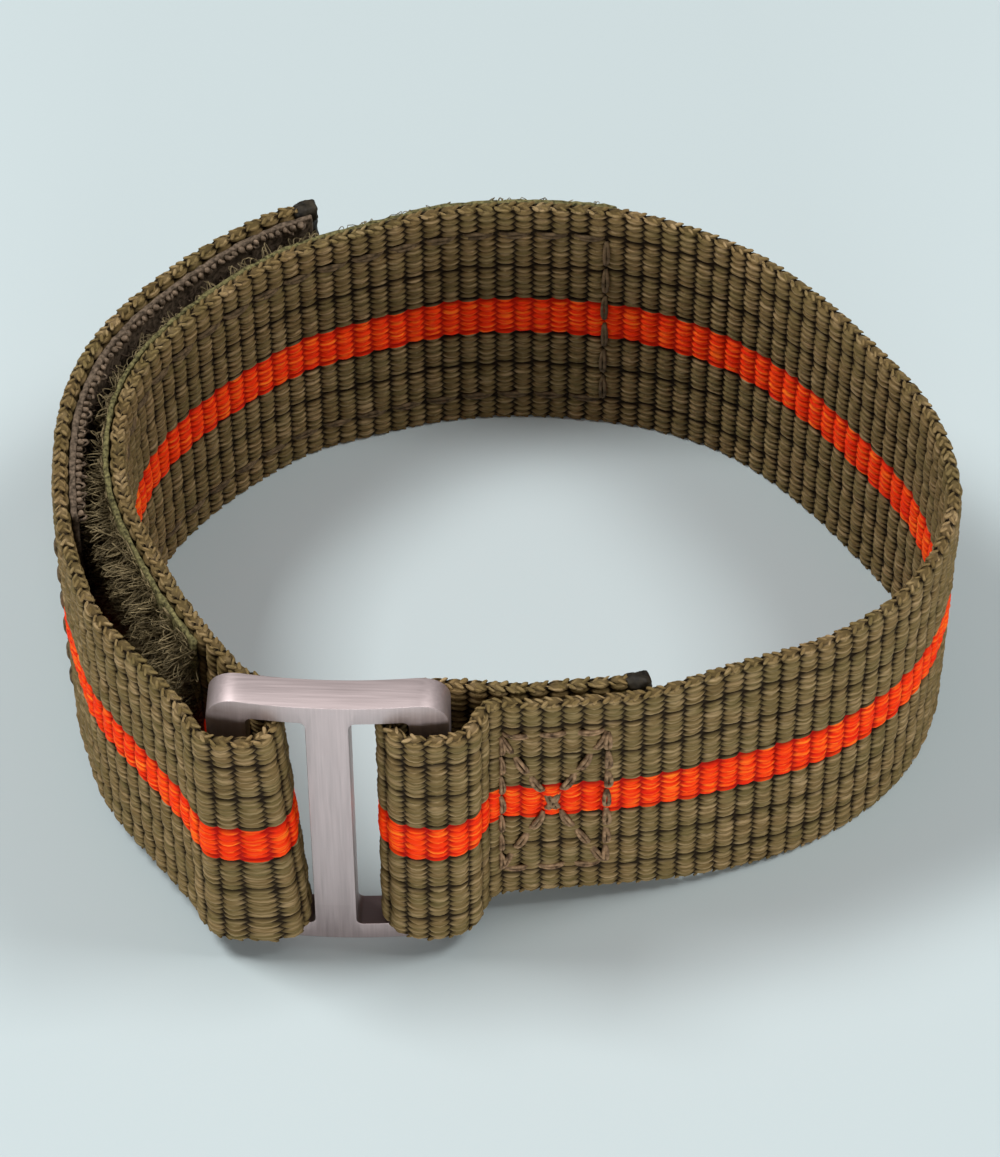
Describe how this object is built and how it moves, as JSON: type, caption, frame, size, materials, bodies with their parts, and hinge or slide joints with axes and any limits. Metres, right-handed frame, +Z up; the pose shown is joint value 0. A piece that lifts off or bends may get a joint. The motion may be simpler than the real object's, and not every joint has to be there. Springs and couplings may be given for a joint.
{
  "type": "watch strap",
  "caption": "Closed hook and loop watch strap of ribbed woven webbing with a central stripe, sewn to a flat metal buckle whose two slots guide it; the free tail folds back and peels off.",
  "frame": {"origin": "under the middle of the strap's box in plan, on the surface that the strap stands on", "axes": "+Z up along the webbing's width, -Y towards the buckle, +X towards the sewn end of the webbing, along the closed loop's longer axis"},
  "size_m": [0.0582, 0.0494, 0.0234],
  "materials": {
    "nylon_webbing": "ribbed weave, olive with an orange stripe",
    "melted_nylon": "cut and melted",
    "loop_tape": "soft pile",
    "hook_tape": "stiff woven hooks",
    "sewing_thread": "bonded thread",
    "steel": "satin"
  },
  "bodies": {
    "strap": {"webbing_main": "nylon_webbing", "sealed_end_inside": "melted_nylon", "loop_tape": "loop_tape", "loop_tape_seam": "sewing_thread", "box_seam_outer": "sewing_thread", "box_seam_inner": "sewing_thread"},
    "buckle": {"buckle_frame": "steel"},
    "tail_root": {"webbing_tail_root": "nylon_webbing"},
    "tail_middle": {"webbing_tail_middle": "nylon_webbing", "hook_tape_middle": "hook_tape", "hook_tape_seam_middle": "sewing_thread"},
    "tail_tip": {"webbing_tail_tip": "nylon_webbing", "hook_tape_tip": "hook_tape", "hook_tape_seam_tip": "sewing_thread", "sealed_end_tail": "melted_nylon"}
  },
  "joints": [
    {"name": "buckle_rock", "type": "hinge", "parent": "strap", "child": "buckle", "pos_m": [-0.00379, -0.0215, 0.01], "axis": [0, 0, 1], "range_deg": [-3, 2]},
    {"name": "tail_peel_root", "type": "hinge", "parent": "strap", "child": "tail_root", "pos_m": [-0.01897, -0.0213, 0.01], "axis": [0, 0, 1], "range_deg": [0, 60]},
    {"name": "tail_peel_middle", "type": "hinge", "parent": "tail_root", "child": "tail_middle", "pos_m": [-0.02669, -0.00902, 0.01], "axis": [0, 0, 1], "range_deg": [0, 75]},
    {"name": "tail_peel_tip", "type": "hinge", "parent": "tail_middle", "child": "tail_tip", "pos_m": [-0.02598, 0.01137, 0.01], "axis": [0, 0, 1], "range_deg": [0, 90]}
  ]
}
